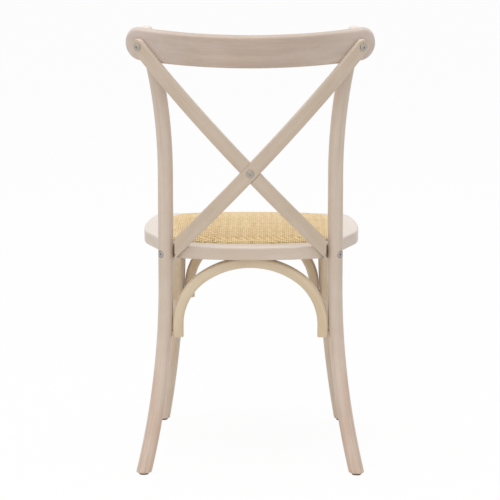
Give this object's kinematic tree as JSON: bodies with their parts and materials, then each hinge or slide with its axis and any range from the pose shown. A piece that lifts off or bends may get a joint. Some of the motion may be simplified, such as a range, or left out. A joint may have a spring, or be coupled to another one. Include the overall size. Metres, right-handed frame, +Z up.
{
  "type": "cross-back dining chair",
  "caption": "Bentwood dining chair with a crossed-strap back, curved crest rail, arched braces under the seat and a raised woven rattan seat in a wooden ring.",
  "frame": {"origin": "on the floor, under the middle of the chair's bounding box", "axes": "+Z up, front of the chair towards -Y, back towards +Y, +X to the sitter's left"},
  "size_m": [0.482, 0.5256, 0.8849],
  "materials": {
    "whitewashed_wood": "matt whitewash",
    "pale_wood": "matt lacquer",
    "plywood": "raw",
    "rattan": "natural",
    "zinc_steel": "zinc plated",
    "dark_plastic": "matt"
  },
  "bodies": {
    "root": {"rear_post_left": "whitewashed_wood", "rear_post_right": "whitewashed_wood", "front_leg_left": "whitewashed_wood", "front_leg_right": "whitewashed_wood", "crest_rail": "whitewashed_wood", "cross_strap_over": "whitewashed_wood", "cross_strap_under": "whitewashed_wood", "seat_ring": "whitewashed_wood", "arch_rear": "pale_wood", "arch_front": "pale_wood", "arch_left": "pale_wood", "arch_right": "pale_wood", "crest_bolts": "zinc_steel", "crest_inserts": "zinc_steel", "post_bolts": "zinc_steel", "ring_inserts": "zinc_steel", "cross_bolt": "zinc_steel", "cross_sleeve_nut": "zinc_steel", "strap_pins": "zinc_steel", "arch_screws": "zinc_steel", "panel_screws": "zinc_steel", "seat_panel": "plywood", "rattan_mat": "rattan", "floor_glides": "dark_plastic"}
  },
  "joints": []
}
